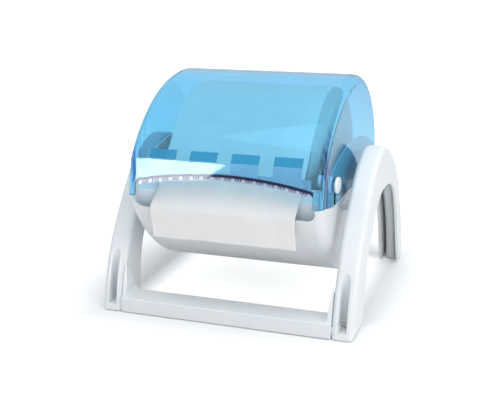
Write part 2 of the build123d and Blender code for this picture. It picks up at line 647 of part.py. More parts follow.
def cradle_screw_places():
    """The two screws of a cradle."""
    z = BODY_Z - CRADLE_SCREW_DROP
    return [(BODY_Y - CRADLE_SCREW_SPREAD / 2, z), (BODY_Y + CRADLE_SCREW_SPREAD / 2, z)]


def latch_screw_places():
    """The two screws of a latch housing."""
    return [(LATCH_Y - HOUSING_EAR_SPREAD / 2, LATCH_Z), (LATCH_Y + HOUSING_EAR_SPREAD / 2, LATCH_Z)]


def small_screws(places, plate, length):
    """Small screws from inside, through a plate, into both side panels."""
    solids = []
    for y, z in places:
        solids += pair(screw_out(SMALL_SCREW, length, SEAT_X - plate, y, z))
    return Compound(children=solids)


def make_arch_screws():
    """Screws from inside the shell into the bosses of the arches."""
    solids = []
    for y, z in boss_places():
        solids += pair(screw_out(ARCH_SCREW, ARCH_SCREW_LENGTH, PANEL_INNER_X, y, z))
    return Compound(children=solids)


def make_right_cradle():
    """Screwed plate with a slotted saddle, open upwards, for one journal."""
    width = CRADLE_WIDTH / 2
    plate = polygon((BODY_Y - width, CRADLE_FOOT), (BODY_Y + width, CRADLE_FOOT),
                    (BODY_Y + SADDLE_RADIUS * 1.5, CRADLE_HEAD), (BODY_Y - SADDLE_RADIUS * 1.5, CRADLE_HEAD))
    plate = fillet(plate.vertices(), CRADLE_ROUND)
    cradle = side_slab(plate, SEAT_X - CRADLE_PLATE, SEAT_X)
    saddle = Pos(BODY_Y, BODY_Z) * Circle(SADDLE_RADIUS)
    saddle += polygon((BODY_Y - SADDLE_RADIUS, CRADLE_FOOT + CRADLE_ROUND),
                      (BODY_Y + SADDLE_RADIUS, CRADLE_FOOT + CRADLE_ROUND),
                      (BODY_Y + SADDLE_RADIUS, CRADLE_HEAD - CRADLE_ROUND),
                      (BODY_Y - SADDLE_RADIUS, CRADLE_HEAD - CRADLE_ROUND))
    cradle += side_slab(saddle, SEAT_X - CRADLE_PLATE - SADDLE_LENGTH, SEAT_X - CRADLE_PLATE)
    slot_half = JOURNAL_RADIUS + SHAFT_FIT
    slot = Pos(BODY_Y, BODY_Z) * Circle(slot_half)
    slot += polygon((BODY_Y - slot_half, BODY_Z), (BODY_Y + slot_half, BODY_Z),
                    (BODY_Y + slot_half, CRADLE_HEAD + OVER), (BODY_Y - slot_half, CRADLE_HEAD + OVER))
    cradle -= side_slab(slot, 0, SEAT_X - CRADLE_PLATE)
    for y, z in cradle_screw_places():
        cradle -= rod(SMALL_SCREW[0] + SCREW_CLEARANCE, 0, BODY_HALF, y, z)
    return cradle


def make_spindle():
    """Turned rod with a smaller journal at each end."""
    half = SEAT_X - CRADLE_PLATE - SPINDLE_END_PLAY
    middle = rod(SPINDLE_RADIUS, -half + JOURNAL_LENGTH, half - JOURNAL_LENGTH, BODY_Y, BODY_Z)
    rod_whole = middle + rod(JOURNAL_RADIUS, -half, half, BODY_Y, BODY_Z)
    ends = rod_whole.edges().filter_by(GeomType.CIRCLE).sort_by(Axis.X)
    return chamfer([ends[0], ends[-1]], SPINDLE_CHAMFER)


def make_right_hub():
    """Flanged plug, hollow behind its rim, that centres the core on the spindle."""
    face_x = ROLL_WIDTH / 2 + HUB_GAP
    plug_radius = CORE_RADIUS - CORE_WALL - SHAFT_FIT
    hub = rod(HUB_FLANGE_RADIUS, face_x, face_x + HUB_FLANGE, BODY_Y, BODY_Z)
    hub += rod(plug_radius, face_x - HUB_PLUG_LENGTH, face_x, BODY_Y, BODY_Z)
    ring = rod(plug_radius - HUB_WALL, face_x - HUB_PLUG_LENGTH, face_x, BODY_Y, BODY_Z)
    ring -= rod(SPINDLE_RADIUS + HUB_WALL, face_x - HUB_PLUG_LENGTH, face_x, BODY_Y, BODY_Z)
    hub -= ring
    hub -= rod(SPINDLE_RADIUS + SHAFT_FIT, 0, BODY_HALF, BODY_Y, BODY_Z)
    rim = hub.edges().filter_by(GeomType.CIRCLE).sort_by(SortBy.RADIUS)[-2:]
    return fillet(rim, HUB_FLANGE / 4)


def tube(radius, bore, length):
    """A hollow cylinder on the spindle's axis."""
    outer = rod(radius, -length / 2, length / 2, BODY_Y, BODY_Z)
    return outer - rod(bore, -length, length, BODY_Y, BODY_Z)


def make_right_latch_button():
    """Oval pad outside the cover, on a stem through the panel to a flange that stops inside."""
    pad_x0 = BODY_HALF + LATCH_PAD_CLEAR + LATCH_TRAVEL
    pad = Pos(LATCH_Y, LATCH_Z) * Ellipse(LATCH_PAD_LENGTH / 2, LATCH_PAD_HEIGHT / 2)
    pad = side_slab(pad, pad_x0, pad_x0 + LATCH_PAD_THICK)
    pad = fillet(pad.edges().sort_by(Axis.X)[-1], LATCH_PAD_ROUND)
    flange_x = PANEL_INNER_X - LATCH_STOP_GAP
    stem = rod(LATCH_STEM_RADIUS, flange_x, pad_x0, LATCH_Y, LATCH_Z)
    flange = rod(LATCH_FLANGE_RADIUS, flange_x - LATCH_FLANGE, flange_x, LATCH_Y, LATCH_Z)
    return pad + stem + flange


def make_right_latch_housing():
    """Cup behind the button, with an ear each side for its screws."""
    back_x = SEAT_X - HOUSING_LENGTH
    cup = rod(HOUSING_RADIUS, back_x, SEAT_X, LATCH_Y, LATCH_Z)
    ears = bar_2d(*latch_screw_places(), HOUSING_EAR_HEIGHT)
    cup += side_slab(ears, SEAT_X - HOUSING_EAR, SEAT_X)
    cup -= rod(HOUSING_RADIUS - HOUSING_WALL, back_x + HOUSING_WALL, BODY_HALF, LATCH_Y, LATCH_Z)
    for y, z in latch_screw_places():
        cup -= rod(SMALL_SCREW[0] + SCREW_CLEARANCE, 0, BODY_HALF, y, z)
    return cup


def make_right_latch_spring():
    """Helical spring between the housing and the button's flange."""
    start = SEAT_X - HOUSING_LENGTH + HOUSING_WALL + SPRING_WIRE / 2 + SHAFT_FIT
    end = PANEL_INNER_X - LATCH_STOP_GAP - LATCH_FLANGE - SPRING_WIRE / 2 - SHAFT_FIT
    height = end - start
    path = Helix(pitch=height / SPRING_TURNS, height=height, radius=SPRING_RADIUS)
    section = Plane(path @ 0, z_dir=path % 0) * Circle(SPRING_WIRE / 2)
    coil = sweep(section, path=path)
    return Pos(start, LATCH_Y, LATCH_Z) * Rot(0, 90, 0) * coil


def make_right_hinge_pin():
    """Pin through one hinge."""
    reach = HINGE_COVER_LENGTH / 2 + HINGE_SIDE_PLAY + HINGE_SHELL_LENGTH
    return rod(HINGE_PIN_RADIUS, HINGE_X - reach, HINGE_X + reach, HINGE_Y, HINGE_Z)


def on_circle(centre, radius, angle):
    """The point of a circle at an angle in degrees."""
    return (centre[0] + radius * cos(radians(angle)), centre[1] + radius * sin(radians(angle)))


def leaving_angle(first, first_radius, second, second_radius):
    """The angle at which a tight sheet leaves one round for the next, on their upper front side."""
    dy = second[0] - first[0]
    dz = second[1] - first[1]
    heading = degrees(atan2(dz, dy)) % 360
    return heading - degrees(acos((first_radius - second_radius) / hypot(dy, dz)))


def make_paper_sheet():
    """Free end of the paper: off the roll, over the guide's nose and the notch's lip, then down."""
    lip_z = NOTCH_FLOOR - BODY_WALL / 2
    lip_y = KEEL_Y - sqrt((KEEL_RADIUS - BODY_WALL / 2) ** 2 - (lip_z - KEEL_Z) ** 2)
    rounds = [((BODY_Y, BODY_Z), ROLL_RADIUS), (GUIDE_NOSE, GUIDE_THICK / 2),
              ((lip_y, lip_z), BODY_WALL * LIP_SHARE)]
    leaving = [leaving_angle(*rounds[0], *rounds[1]), leaving_angle(*rounds[1], *rounds[2]), 180]
    edges = []
    ends = []
    for gap in (SHEET_CLEAR, SHEET_CLEAR + SHEET_THICK):
        start = on_circle(rounds[0][0], rounds[0][1] + gap, leaving[0])
        ends.append([start])
        for n in (1, 2):
            centre, radius = rounds[n]
            arrive = on_circle(centre, radius + gap, leaving[n - 1])
            middle = on_circle(centre, radius + gap, (leaving[n - 1] + leaving[n]) / 2)
            leave = on_circle(centre, radius + gap, leaving[n])
            edges += [Line(start, arrive), ThreePointArc(arrive, middle, leave)]
            start = leave
        end = (start[0], BODY_Z - SHEET_DROP)
        edges.append(Line(start, end))
        ends[-1].append(end)
    edges += [Line(ends[0][0], ends[1][0]), Line(ends[0][1], ends[1][1])]
    return side_slab(make_face(edges), -ROLL_WIDTH / 2, ROLL_WIDTH / 2)


def make_parts():
    """Every node of the dispenser by name."""
    arch = make_right_arch()
    cradle = make_right_cradle()
    hub = make_right_hub()
    button = make_right_latch_button()
    housing = make_right_latch_housing()
    spring = make_right_latch_spring()
    pin = make_right_hinge_pin()
    core_bore = CORE_RADIUS - CORE_WALL
    return {
        "right_side_arch": arch,
        "left_side_arch": mirrored(arch),
        "front_crossbar": make_front_crossbar(),
        "crossbar_screws": make_crossbar_screws(),
        "rubber_feet": make_rubber_feet(),
        "base_shell": make_base_shell(),
        "arch_screws": make_arch_screws(),
        "paper_guide": make_paper_guide(),
        "guide_screws": small_screws(guide_screw_places(), GUIDE_FLANGE, SMALL_SCREW_LENGTH),
        "right_cradle": cradle,
        "left_cradle": mirrored(cradle),
        "cradle_screws": small_screws(cradle_screw_places(), CRADLE_PLATE, SMALL_SCREW_LENGTH),
        "cover": make_cover(),
        "tear_bar": make_tear_bar(),
        "right_hinge_pin": pin,
        "left_hinge_pin": mirrored(pin),
        "right_latch_button": button,
        "left_latch_button": mirrored(button),
        "right_latch_spring": spring,
        "left_latch_spring": mirrored(spring),
        "right_latch_housing": housing,
        "left_latch_housing": mirrored(housing),
        "latch_screws": small_screws(latch_screw_places(), HOUSING_EAR, THIN_SCREW_LENGTH),
        "spindle": make_spindle(),
        "right_hub": hub,
        "left_hub": mirrored(hub),
        "cardboard_core": tube(CORE_RADIUS, core_bore, ROLL_WIDTH),
        "paper_roll": tube(ROLL_RADIUS, CORE_RADIUS + WINDING_GAP, ROLL_WIDTH),
        "paper_sheet": make_paper_sheet(),
    }


os.makedirs("parts", exist_ok=True)
for name, shape in make_parts().items():
    export_step(shape, f"parts/{name}.step")
    print(name, len(shape.solids()), round(sum(s.volume for s in shape.solids()) / 1000, 1), "cm3")
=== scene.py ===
from math import pi, radians, sin

import bmesh
import bpy
from mathutils import Matrix, Vector, noise


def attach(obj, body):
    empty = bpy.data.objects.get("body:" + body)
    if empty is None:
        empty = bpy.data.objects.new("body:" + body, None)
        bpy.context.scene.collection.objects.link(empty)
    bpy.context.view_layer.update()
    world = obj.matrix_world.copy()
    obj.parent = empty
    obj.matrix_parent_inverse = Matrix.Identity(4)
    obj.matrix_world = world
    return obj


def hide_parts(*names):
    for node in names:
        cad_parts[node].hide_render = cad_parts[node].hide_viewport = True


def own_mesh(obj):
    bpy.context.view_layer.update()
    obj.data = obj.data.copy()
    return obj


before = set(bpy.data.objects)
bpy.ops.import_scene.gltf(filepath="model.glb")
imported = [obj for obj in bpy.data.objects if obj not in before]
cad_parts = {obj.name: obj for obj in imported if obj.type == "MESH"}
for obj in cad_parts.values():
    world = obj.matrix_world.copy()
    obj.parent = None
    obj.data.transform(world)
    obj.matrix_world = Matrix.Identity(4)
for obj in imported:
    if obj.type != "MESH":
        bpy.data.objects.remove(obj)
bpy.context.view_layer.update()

scene = bpy.context.scene
mm = 0.001


# The camera. A long lens about 1.5 m from the stand, a little to its right and above it, and rolled by one
# degree, as it was held for the photograph.
CAMERA_PLACE = (467.3 * mm, -1355.1 * mm, 576.8 * mm)
CAMERA_TURN = 19.81
CAMERA_TILT = 17.40
CAMERA_ROLL = -0.99
FOCAL_LENGTH = 65.28
FILM_WIDTH = 36
SIGHT_LIMIT = 50
camera_data = bpy.data.cameras.new("camera")
camera_data.sensor_width = FILM_WIDTH
camera_data.lens = FOCAL_LENGTH
camera_data.clip_end = SIGHT_LIMIT
camera = bpy.data.objects.new("camera", camera_data)
turn = Matrix.Rotation(radians(CAMERA_TURN), 4, "Z") @ Matrix.Rotation(radians(90 - CAMERA_TILT), 4, "X")
turn = turn @ Matrix.Rotation(radians(CAMERA_ROLL), 4, "Z")
camera.location = CAMERA_PLACE
camera.rotation_euler = turn.to_euler()
scene.collection.objects.link(camera)
scene.camera = camera


# The studio. A white paper floor that runs out to a white surround, and plain softboxes: a broad one
# overhead, one to the right, and a small square one on the left, turned on its corner, which only lends
# the flat band of the cover its bright wedge. Shade is a little cool, as under a large white ceiling.
ROOM_LEVEL = 0.68
MIRRORED_SHARE = 0.4
STAND_HALF_WIDTH = 202 * mm
STAND_HALF_DEPTH = 192 * mm
FLOOR_REACH = 8.0


def tone(code):
    """A colour written as sRGB hex, as the linear values that a shader takes."""
    parts = [int(code[n:n + 2], 16) / 255 for n in (1, 3, 5)]
    return [p / 12.92 if p <= 0.04045 else ((p + 0.055) / 1.055) ** 2.4 for p in parts] + [1.0]


def add(tree, kind, inputs=None, **settings):
    """One node with its settings; each input takes a value or another node's output."""
    node = tree.nodes.new(kind)
    for name, value in settings.items():
        setattr(node, name, value)
    for name, value in (inputs or {}).items():
        if isinstance(value, bpy.types.NodeSocket):
            tree.links.new(value, node.inputs[name])
        else:
            node.inputs[name].default_value = value
    return node


def new_material(name, **sockets):
    """A material by name with its node tree and its shader, whose own sockets are set here."""
    material = bpy.data.materials.new(name)
    material.use_nodes = True
    shader = material.node_tree.nodes["Principled BSDF"]
    for socket, value in sockets.items():
        shader.inputs[socket.replace("_", " ").title().replace("Ior", "IOR")].default_value = value
    return material, material.node_tree, shader


def link_mesh(name, mesh):
    """A scene object for a finished mesh, at the origin."""
    piece = bpy.data.objects.new(name, mesh)
    scene.collection.objects.link(piece)
    return piece


surround = bpy.data.worlds.new("white_surround")
surround.use_nodes = True
tree = surround.node_tree
tree.nodes.clear()
path = add(tree, "ShaderNodeLightPath")
seen = add(tree, "ShaderNodeMath", {0: path.outputs["Is Camera Ray"],
                                    1: path.outputs["Is Transmission Ray"]}, operation="MAXIMUM")
mirrored = add(tree, "ShaderNodeMath", {0: path.outputs["Is Glossy Ray"], 1: MIRRORED_SHARE},
               operation="MULTIPLY")
seen = add(tree, "ShaderNodeMath", {0: seen.outputs[0], 1: mirrored.outputs[0]}, operation="MAXIMUM")
level = add(tree, "ShaderNodeMapRange", {"Value": seen.outputs[0], "To Min": ROOM_LEVEL, "To Max": 1.0})
sky = add(tree, "ShaderNodeMix", {"Factor": seen.outputs[0], 6: tone("#F6FAFF"), 7: tone("#FFFFFF")},
          data_type="RGBA")
back = add(tree, "ShaderNodeBackground", {"Color": sky.outputs[2], "Strength": level.outputs[0]})
add(tree, "ShaderNodeOutputWorld", {"Surface": back.outputs[0]})
scene.world = surround
scene.view_settings.view_transform = "Standard"

# The floor shows white, but for the stand's own shadow: reach is one along the edge of its footprint. Its
# glow is painted light: strong under the stand, where it washes the stand's shadow out, low near the edge of
# the footprint, so that the contact shadow shows, and rising again beyond it towards the white surround,
# which also washes out the wider shadow beside the stand.
floor_material = bpy.data.materials.new("white_studio_paper")
floor_material.use_nodes = True
tree = floor_material.node_tree
tree.nodes.clear()
path = add(tree, "ShaderNodeLightPath")
seen = add(tree, "ShaderNodeMath", {0: path.outputs["Is Camera Ray"],
                                    1: path.outputs["Is Transmission Ray"]}, operation="MAXIMUM")
paper = add(tree, "ShaderNodeBsdfDiffuse", {"Color": tone("#F0F0F0")})
place = add(tree, "ShaderNodeTexCoord")
footprint = add(tree, "ShaderNodeVectorMath", {0: place.outputs["Object"],
                                               1: (1 / STAND_HALF_WIDTH, 1 / STAND_HALF_DEPTH, 0)},
                operation="MULTIPLY")
footprint = add(tree, "ShaderNodeVectorMath", {0: footprint.outputs[0]}, operation="ABSOLUTE")
apart = add(tree, "ShaderNodeSeparateXYZ", {0: footprint.outputs[0]})
reach = add(tree, "ShaderNodeMath", {0: apart.outputs["X"], 1: apart.outputs["Y"]}, operation="MAXIMUM")
# Painted light: the floor glows under the stand, which washes out the stand's shadow there.
under = add(tree, "ShaderNodeMapRange", {"Value": reach.outputs[0], "From Min": 0.72, "From Max": 0.95,
                                         "To Min": 0.66, "To Max": 0.04})
beyond = add(tree, "ShaderNodeMapRange", {"Value": reach.outputs[0], "From Min": 1.03, "From Max": 2.2,
                                          "To Min": 0.04, "To Max": 0.62})
lift = add(tree, "ShaderNodeMath", {0: under.outputs[0], 1: beyond.outputs[0]}, operation="MAXIMUM")
lift = add(tree, "ShaderNodeMath", {0: lift.outputs[0], 1: seen.outputs[0]}, operation="MULTIPLY")
glow = add(tree, "ShaderNodeEmission", {"Color": (1, 1, 1, 1), "Strength": lift.outputs[0]})
both = add(tree, "ShaderNodeAddShader", {0: paper.outputs[0], 1: glow.outputs[0]})
add(tree, "ShaderNodeOutputMaterial", {"Surface": both.outputs[0]})

floor_mesh = bpy.data.meshes.new("studio_floor")
corners = [(-FLOOR_REACH, -FLOOR_REACH, 0), (FLOOR_REACH, -FLOOR_REACH, 0),
           (FLOOR_REACH, FLOOR_REACH, 0), (-FLOOR_REACH, FLOOR_REACH, 0)]
floor_mesh.from_pydata(corners, [], [(0, 1, 2, 3)])
floor_mesh.materials.append(floor_material)
floor = link_mesh("studio_floor", floor_mesh)

# Each softbox: its place, what it aims at, its roll in degrees, its width, height and watts.
SOFTBOXES = {
    "overhead_softbox": ((0.3, -0.2, 2.0), (0, 0, 0.15), 0, 1.8, 1.4, 20),
    "right_softbox": ((1.9, -1.1, 0.85), (0, 0, 0.15), 0, 1.0, 1.0, 11),
    "left_softbox": ((-0.873, -1.70, 0.633), (-0.09, -0.18, 0.218), 45, 0.5, 0.5, 9),
}
for name, (place, target, roll, width, height, power) in SOFTBOXES.items():
    lamp = bpy.data.lights.new(name, "AREA")
    lamp.shape = "RECTANGLE"
    lamp.size = width
    lamp.size_y = height
    lamp.energy = power
    box = bpy.data.objects.new(name, lamp)
    box.location = place
    aim = (Vector(target) - Vector(place)).to_track_quat("-Z", "Y").to_matrix().to_4x4()
    box.rotation_euler = (aim @ Matrix.Rotation(radians(roll), 4, "Z")).to_euler()
    box.visible_glossy = name != "overhead_softbox"
    box.visible_diffuse = name != "left_softbox"
    scene.collection.objects.link(box)


# The side arches, the front bar and the base shell. White ABS with a faint blue cast, injection moulded
# with a fine satin texture, so highlights are broad and soft; the arches are screwed to the shell.
white_abs, tree, shader = new_material("white_abs_satin_moulded", roughness=0.34, ior=1.53)
GRAIN = 0.9 * mm
MELT_FLOW = 60 * mm
place = add(tree, "ShaderNodeTexCoord")
flow = add(tree, "ShaderNodeTexNoise", {"Vector": place.outputs["Object"], "Scale": 1 / MELT_FLOW,
                                        "Detail": 3.0})
cast = add(tree, "ShaderNodeMix", {"Factor": flow.outputs[0], 6: tone("#E2E6E8"), 7: tone("#E9ECED")},
           data_type="RGBA")
grain = add(tree, "ShaderNodeTexNoise", {"Vector": place.outputs["Object"], "Scale": 1 / GRAIN,
                                         "Detail": 2.0})
satin = add(tree, "ShaderNodeMapRange", {"Value": flow.outputs[0], "To Min": 0.30, "To Max": 0.40})
bump = add(tree, "ShaderNodeBump", {"Strength": 0.05, "Distance": 0.1 * mm, "Height": grain.outputs[0]})
tree.links.new(cast.outputs[2], shader.inputs["Base Color"])
tree.links.new(satin.outputs[0], shader.inputs["Roughness"])
tree.links.new(bump.outputs[0], shader.inputs["Normal"])


def dress(material, *names):
    """Give CAD nodes a material in every slot."""
    for name in names:
        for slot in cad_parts[name].material_slots:
            slot.material = material


dress(white_abs, "right_side_arch", "left_side_arch", "front_crossbar", "base_shell", "paper_guide")


# The cover. Clear blue SAN, injection moulded and polished, about 3 mm thick: pale where light passes one
# wall, deep blue along its edges. Its end walls are painted a slightly deeper blue, with painted dark
# streaks on the front corners that stand in for the refraction in their rounding. Along the arched edge of
# the mouth, which is cut square, a painted dark line stands in for the light bent at that edge.
blue_san, tree, shader = new_material("blue_san_polished", roughness=0.03, ior=1.5, transmission_weight=1.0)
MOUTH_HALF = 138 * mm
MOUTH_SIDE = 213 * mm
MOUTH_TOP = 227.5 * mm
MOUTH_RISE = MOUTH_TOP - MOUTH_SIDE
MOUTH_BOW = (MOUTH_HALF ** 2 + MOUTH_RISE ** 2) / (2 * MOUTH_RISE)
PAINTED_EDGE_LINE = 3.4 * mm
BAND_FRONT = -200 * mm
BAND_REAR = -165 * mm
END_FROM = 141 * mm
END_FULL = 150 * mm
CORNER_FROM = -110 * mm
CORNER_FULL = -150 * mm
PAINTED_STREAK_PITCH = 7 * mm
PAINTED_STREAK_STRETCH = 0.06


def between(tree, value, low, high):
    """One where a value lies between two limits, else zero."""
    over = add(tree, "ShaderNodeMath", {0: value, 1: low}, operation="GREATER_THAN")
    under = add(tree, "ShaderNodeMath", {0: value, 1: high}, operation="LESS_THAN")
    both = add(tree, "ShaderNodeMath", {0: over.outputs[0], 1: under.outputs[0]}, operation="MULTIPLY")
    return both.outputs[0]


def near_mouth(tree, low, high):
    """One on the front band between two heights over the mouth's arched edge, else zero."""
    place = add(tree, "ShaderNodeTexCoord")
    spot = add(tree, "ShaderNodeSeparateXYZ", {0: place.outputs["Object"]})
    height = add(tree, "ShaderNodeMath", {0: spot.outputs["Z"], 1: MOUTH_BOW - MOUTH_TOP}, operation="ADD")
    flat = add(tree, "ShaderNodeCombineXYZ", {"X": spot.outputs["X"], "Y": height.outputs[0]})
    reach = add(tree, "ShaderNodeVectorMath", {0: flat.outputs[0]}, operation="LENGTH")
    level = between(tree, reach.outputs["Value"], MOUTH_BOW + low, MOUTH_BOW + high)
    front = between(tree, spot.outputs["Y"], BAND_FRONT, BAND_REAR)
    inner = between(tree, spot.outputs["X"], -MOUTH_HALF, MOUTH_HALF)
    level = add(tree, "ShaderNodeMath", {0: level, 1: front}, operation="MULTIPLY")
    return add(tree, "ShaderNodeMath", {0: level.outputs[0], 1: inner}, operation="MULTIPLY").outputs[0]


place = add(tree, "ShaderNodeTexCoord")
spot = add(tree, "ShaderNodeSeparateXYZ", {0: place.outputs["Object"]})
side = add(tree, "ShaderNodeMath", {0: spot.outputs["X"]}, operation="ABSOLUTE")
to_end = add(tree, "ShaderNodeMapRange", {"Value": side.outputs[0], "From Min": END_FROM,
                                          "From Max": END_FULL})
to_front = add(tree, "ShaderNodeMapRange", {"Value": spot.outputs["Y"], "From Min": CORNER_FROM,
                                            "From Max": CORNER_FULL})
# Painted refraction: the end walls get a slightly deeper blue, and dark upright streaks on the front corners
# stand in for the light bent in their rounding.
upright = add(tree, "ShaderNodeMapping", {"Vector": place.outputs["Object"], "Scale": (1, 1, PAINTED_STREAK_STRETCH)})
painted_streak_noise = add(tree, "ShaderNodeTexNoise", {"Vector": upright.outputs[0], "Scale": 1 / PAINTED_STREAK_PITCH, "Detail": 1.0})
painted_corner_streaks = add(tree, "ShaderNodeMapRange", {"Value": painted_streak_noise.outputs[0], "From Min": 0.49, "From Max": 0.57})
painted_corner_streaks = add(tree, "ShaderNodeMath", {0: painted_corner_streaks.outputs[0], 1: to_front.outputs[0]}, operation="MULTIPLY")
wall = add(tree, "ShaderNodeMix", {"Factor": painted_corner_streaks.outputs[0], 6: tone("#DAF3FB"), 7: tone("#1F62B4")},
           data_type="RGBA")
body = add(tree, "ShaderNodeMix", {"Factor": to_end.outputs[0], 6: tone("#EEFAFF"), 7: wall.outputs[2]},
           data_type="RGBA")
# A painted dark line along the mouth's arched edge stands in for the light bent at its square-cut edge.
edge = add(tree, "ShaderNodeMix", {"Factor": near_mouth(tree, -PAINTED_EDGE_LINE, PAINTED_EDGE_LINE), 6: body.outputs[2],
                                   7: tone("#05205F")}, data_type="RGBA")
tree.links.new(edge.outputs[2], shader.inputs["Base Color"])
depth = add(tree, "ShaderNodeVolumeAbsorption", {"Color": tone("#2AD6F0"), "Density": 215.0})
tree.links.new(depth.outputs[0], tree.nodes["Material Output"].inputs["Volume"])


def let_lamps_in(tree, shader, tint):
    """Lets rays from the lamps pass straight through a clear wall, with a tint, to light what is behind."""
    path = add(tree, "ShaderNodeLightPath")
    open_wall = add(tree, "ShaderNodeBsdfTransparent", {"Color": tint})
    both = add(tree, "ShaderNodeMixShader", {0: path.outputs["Is Shadow Ray"], 1: shader.outputs[0],
                                             2: open_wall.outputs[0]})
    tree.links.new(both.outputs[0], tree.nodes["Material Output"].inputs["Surface"])


passed = add(tree, "ShaderNodeMix", {"Factor": to_end.outputs[0], 6: tone("#D0CECA"), 7: tone("#FFFFFF")},
             data_type="RGBA")
let_lamps_in(tree, shader, passed.outputs[2])
dress(blue_san, "cover")


# The tear bar. Clear SAN, moulded as a thin strip with small teeth in groups of three, clipped behind the
# cover's band. Its strip is pale. The cuts beside its teeth catch the cover's blue, which is painted on as
# dark ticks, and the clips above the crease are painted cyan for the cover's blue over them.
clear_san, tree, shader = new_material("clear_san_polished", roughness=0.08, ior=1.5,
                                       transmission_weight=0.5)
CREASE = 247 * mm
STRIP = 6.5 * mm
TOOTH_GROUP = 16.4 * mm
TOOTH_PITCH = 3.9 * mm
PAINTED_TICK = 1.1 * mm
place = add(tree, "ShaderNodeTexCoord")
spot = add(tree, "ShaderNodeSeparateXYZ", {0: place.outputs["Object"]})
# Painted reflection: dark ticks beside the teeth stand in for the cover's blue that the cuts catch.
in_group = add(tree, "ShaderNodeMath", {0: spot.outputs["X"], 1: TOOTH_GROUP, 2: 0.0}, operation="WRAP")
from_middle = add(tree, "ShaderNodeMath", {0: in_group.outputs[0], 1: TOOTH_GROUP / 2}, operation="SUBTRACT")
in_tooth = add(tree, "ShaderNodeMath", {0: from_middle.outputs[0], 1: TOOTH_PITCH / 2}, operation="PINGPONG")
on_tooth = between(tree, in_tooth.outputs[0], -PAINTED_TICK, PAINTED_TICK)
of_three = between(tree, from_middle.outputs[0], -1.5 * TOOTH_PITCH, 1.5 * TOOTH_PITCH)
painted_ticks = add(tree, "ShaderNodeMath", {0: on_tooth, 1: of_three}, operation="MULTIPLY").outputs[0]
painted_ticks = add(tree, "ShaderNodeMath", {0: painted_ticks, 1: near_mouth(tree, -STRIP, 0.0)}, operation="MULTIPLY")
# Above the crease the clips are painted cyan, standing in for the cover's blue that lies over them.
painted_blue_above_crease = add(tree, "ShaderNodeMath", {0: spot.outputs["Z"], 1: CREASE}, operation="GREATER_THAN")
strip_and_painted_blue = add(tree, "ShaderNodeMix", {"Factor": painted_blue_above_crease.outputs[0], 6: tone("#E4E4F2"), 7: tone("#3CC4DC")},
           data_type="RGBA")
cast = add(tree, "ShaderNodeMix", {"Factor": painted_ticks.outputs[0], 6: strip_and_painted_blue.outputs[2], 7: tone("#182C7C")},
           data_type="RGBA")
tree.links.new(cast.outputs[2], shader.inputs["Base Color"])
let_lamps_in(tree, shader, tone("#E8F2F8"))
dress(clear_san, "tear_bar")


# The latch buttons. White ABS, polished, so that each shows as a bright oval beside the cover.
button_abs, tree, shader = new_material("white_abs_polished", roughness=0.12, ior=1.53)
BUTTON_FLOW = 9 * mm
place = add(tree, "ShaderNodeTexCoord")
flow = add(tree, "ShaderNodeTexNoise", {"Vector": place.outputs["Object"], "Scale": 1 / BUTTON_FLOW,
                                        "Detail": 2.0})
cast = add(tree, "ShaderNodeMix", {"Factor": flow.outputs[0], 6: tone("#F4F6F6"), 7: tone("#FAFBFB")},
           data_type="RGBA")
polish = add(tree, "ShaderNodeMapRange", {"Value": flow.outputs[0], "To Min": 0.08, "To Max": 0.16})
tree.links.new(cast.outputs[2], shader.inputs["Base Color"])
tree.links.new(polish.outputs[0], shader.inputs["Roughness"])
dress(button_abs, "right_latch_button", "left_latch_button")


# What holds the roll inside. Grey ABS hubs, cradles and latch housings, injection moulded and left as
# they come from the tool, so they are dull, with a faint streak where the melt flowed.
grey_abs, tree, shader = new_material("grey_abs_moulded", roughness=0.45, ior=1.53)
STREAK_WIDTH = 14 * mm
STREAK_STRETCH = 0.25
place = add(tree, "ShaderNodeTexCoord")
streak = add(tree, "ShaderNodeMapping", {"Vector": place.outputs["Object"], "Scale": (1, 1, STREAK_STRETCH)})
flow = add(tree, "ShaderNodeTexNoise", {"Vector": streak.outputs[0], "Scale": 1 / STREAK_WIDTH,
                                        "Detail": 4.0})
cast = add(tree, "ShaderNodeMix", {"Factor": flow.outputs[0], 6: tone("#D3D9DC"), 7: tone("#DEE3E5")},
           data_type="RGBA")
dull = add(tree, "ShaderNodeMapRange", {"Value": flow.outputs[0], "To Min": 0.40, "To Max": 0.55})
tree.links.new(cast.outputs[2], shader.inputs["Base Color"])
tree.links.new(dull.outputs[0], shader.inputs["Roughness"])
dress(grey_abs, "right_hub", "left_hub", "right_cradle", "left_cradle", "right_latch_housing",
      "left_latch_housing")


# Spindle, pins, springs and screws. Steel, turned or drawn and then zinc plated, bright with a slight
# haze and fine marks along the turning.
plated_steel, tree, shader = new_material("zinc_plated_steel", metallic=1.0, roughness=0.28)
TURNING = 0.4 * mm
TURNING_STRETCH = 0.05
HAZE = 5 * mm
place = add(tree, "ShaderNodeTexCoord")
haze = add(tree, "ShaderNodeTexNoise", {"Vector": place.outputs["Object"], "Scale": 1 / HAZE, "Detail": 3.0})
cast = add(tree, "ShaderNodeMix", {"Factor": haze.outputs[0], 6: tone("#BFC2C6"), 7: tone("#D2D3D2")},
           data_type="RGBA")
lathe = add(tree, "ShaderNodeMapping", {"Vector": place.outputs["Object"],
                                        "Scale": (1, TURNING_STRETCH, TURNING_STRETCH)})
marks = add(tree, "ShaderNodeTexNoise", {"Vector": lathe.outputs[0], "Scale": 1 / TURNING, "Detail": 1.0})
worn = add(tree, "ShaderNodeMapRange", {"Value": marks.outputs[0], "To Min": 0.20, "To Max": 0.36})
tree.links.new(cast.outputs[2], shader.inputs["Base Color"])
tree.links.new(worn.outputs[0], shader.inputs["Roughness"])
dress(plated_steel, "spindle", "right_hinge_pin", "left_hinge_pin", "right_latch_spring",
      "left_latch_spring", "arch_screws", "crossbar_screws", "guide_screws", "cradle_screws", "latch_screws")
